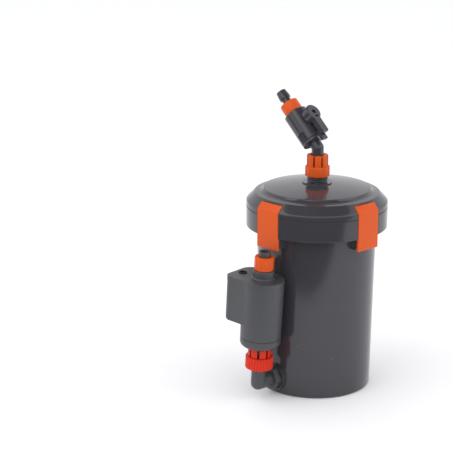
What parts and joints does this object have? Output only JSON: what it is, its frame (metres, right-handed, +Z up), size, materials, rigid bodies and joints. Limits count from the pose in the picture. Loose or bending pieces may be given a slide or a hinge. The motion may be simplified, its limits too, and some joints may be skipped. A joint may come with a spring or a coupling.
{
  "type": "canister filter",
  "caption": "External aquarium canister filter: clipped lid over a barrel of sponge media, swivelling shut-off valve on top and a small pump on the side.",
  "frame": {"origin": "centre of the barrel's flat foot, on the surface that the filter stands on", "axes": "+Z up along the barrel; the outlet port and pump are at 225 degrees from +X, between -X and -Y"},
  "size_m": [0.1814, 0.1739, 0.3366],
  "materials": {
    "dark_plastic": "glossy injection-moulded plastic, fine mould texture",
    "pump_plastic": "satin moulded plastic",
    "orange_plastic": "glossy orange moulded plastic",
    "red_plastic": "glossy red moulded plastic",
    "seal_rubber": "soft black rubber",
    "stainless_pin": "drawn stainless steel",
    "black_plastic": "plain black plastic",
    "white_floss": "white filter wadding",
    "yellow_foam": "fine open-cell foam",
    "blue_foam": "medium open-cell foam",
    "black_foam": "coarse open-cell foam",
    "valve_ball": "polished acetal",
    "ptfe": "waxy white PTFE",
    "core_steel": "stacked electrical steel",
    "copper_wire": "enamelled copper winding",
    "potting_resin": "cast epoxy",
    "magnet": "sintered ferrite",
    "shaft_ceramic": "polished ceramic"
  },
  "bodies": {
    "canister": {"barrel": "dark_plastic", "clip_pins": "stainless_pin", "media_support": "black_plastic", "floss_pad": "white_floss", "sponge_yellow": "yellow_foam", "sponge_blue": "blue_foam", "sponge_black": "black_foam", "top_grid": "black_plastic", "port_bulkhead": "pump_plastic", "port_gasket": "seal_rubber", "port_locknut": "pump_plastic", "outlet_elbow": "pump_plastic"},
    "lid": {"lid": "dark_plastic", "lid_seal": "seal_rubber"},
    "clip_front_left": {"clip_front_left": "orange_plastic"},
    "clip_front_right": {"clip_front_right": "orange_plastic"},
    "clip_back_right": {"clip_back_right": "orange_plastic"},
    "clip_back_left": {"clip_back_left": "orange_plastic"},
    "inlet_nut": {"inlet_nut": "orange_plastic"},
    "inlet_elbow": {"inlet_elbow": "dark_plastic", "elbow_seals": "seal_rubber", "valve_seal": "seal_rubber"},
    "release_collar": {"release_collar": "dark_plastic"},
    "valve": {"valve_body": "dark_plastic", "valve_seats": "ptfe", "stem_seal": "seal_rubber", "hose_barb": "dark_plastic"},
    "lever": {"lever": "dark_plastic", "valve_ball": "valve_ball", "lever_screw": "stainless_pin"},
    "hose_nut": {"hose_nut": "orange_plastic"},
    "pump": {"pump_housing": "pump_plastic", "pump_cap": "pump_plastic", "pump_cap_seal": "seal_rubber", "pump_inlet_seal": "seal_rubber", "stator_core": "core_steel", "coil_bobbin": "black_plastic", "coil_winding": "copper_wire", "potting": "potting_resin", "pump_top_cover": "pump_plastic", "outlet_spigot": "pump_plastic", "cord_grommet": "seal_rubber", "rotor_shaft": "shaft_ceramic", "shaft_bushings": "ptfe"},
    "rotor": {"rotor_magnet": "magnet", "impeller": "black_plastic"},
    "pump_inlet_nut": {"pump_inlet_nut": "red_plastic"},
    "outlet_nut": {"outlet_nut": "orange_plastic"}
  },
  "joints": [
    {"name": "lid_lift", "type": "slide", "parent": "canister", "child": "lid", "axis": [0, 0, 1], "range_m": [0, 0.04]},
    {"name": "clip_front_left_hinge", "type": "hinge", "parent": "canister", "child": "clip_front_left", "pos_m": [-0.05155, -0.05155, 0.1782], "axis": [0.7071, -0.7071, 0], "range_deg": [0, 65]},
    {"name": "clip_front_right_hinge", "type": "hinge", "parent": "canister", "child": "clip_front_right", "pos_m": [0.05155, -0.05155, 0.1782], "axis": [0.7071, 0.7071, 0], "range_deg": [0, 65]},
    {"name": "clip_back_right_hinge", "type": "hinge", "parent": "canister", "child": "clip_back_right", "pos_m": [0.05155, 0.05155, 0.1782], "axis": [-0.7071, 0.7071, 0], "range_deg": [0, 65]},
    {"name": "clip_back_left_hinge", "type": "hinge", "parent": "canister", "child": "clip_back_left", "pos_m": [-0.05155, 0.05155, 0.1782], "axis": [-0.7071, -0.7071, 0], "range_deg": [0, 65]},
    {"name": "inlet_nut_turn", "type": "hinge", "parent": "lid", "child": "inlet_nut", "pos_m": [0, 0, 0.2446], "axis": [0, 0, 1], "continuous": true},
    {"name": "inlet_swivel", "type": "hinge", "parent": "lid", "child": "inlet_elbow", "pos_m": [0, 0, 0.2767], "axis": [0, 0, 1], "continuous": true},
    {"name": "release_press", "type": "slide", "parent": "inlet_elbow", "child": "release_collar", "axis": [0.5288, -0.4695, -0.7071], "range_m": [0, 0.0022]},
    {"name": "valve_pull", "type": "slide", "parent": "inlet_elbow", "child": "valve", "axis": [-0.5288, 0.4695, 0.7071], "range_m": [0, 0.02]},
    {"name": "lever_turn", "type": "hinge", "parent": "valve", "child": "lever", "pos_m": [-0.01756, 0.01559, 0.30018], "axis": [0.5288, -0.4695, 0.7071], "range_deg": [0, 90]},
    {"name": "hose_nut_turn", "type": "hinge", "parent": "valve", "child": "hose_nut", "pos_m": [-0.02575, 0.02286, 0.31114], "axis": [-0.5288, 0.4695, 0.7071], "continuous": true},
    {"name": "pump_swivel", "type": "hinge", "parent": "canister", "child": "pump", "pos_m": [-0.06475, -0.06475, 0.0194], "axis": [0.0432, -0.0432, 0.9981], "range_deg": [-5, 165]},
    {"name": "pump_inlet_nut_turn", "type": "hinge", "parent": "canister", "child": "pump_inlet_nut", "pos_m": [-0.06391, -0.06558, 0.03876], "axis": [0.0432, -0.0432, 0.9981], "continuous": true},
    {"name": "outlet_nut_turn", "type": "hinge", "parent": "pump", "child": "outlet_nut", "pos_m": [-0.05889, -0.0706, 0.15475], "axis": [0.0432, -0.0432, 0.9981], "continuous": true},
    {"name": "rotor_spin", "type": "hinge", "parent": "pump", "child": "rotor", "pos_m": [-0.06067, -0.06882, 0.11362], "axis": [-0.7758, 0.628, 0.0607], "continuous": true}
  ],
  "couplings": [
    {"joint": "clip_front_left_hinge", "follows": "lid_lift", "rad_per_m": 27.925},
    {"joint": "clip_front_right_hinge", "follows": "lid_lift", "rad_per_m": 27.925},
    {"joint": "clip_back_right_hinge", "follows": "lid_lift", "rad_per_m": 27.925},
    {"joint": "clip_back_left_hinge", "follows": "lid_lift", "rad_per_m": 27.925}
  ]
}
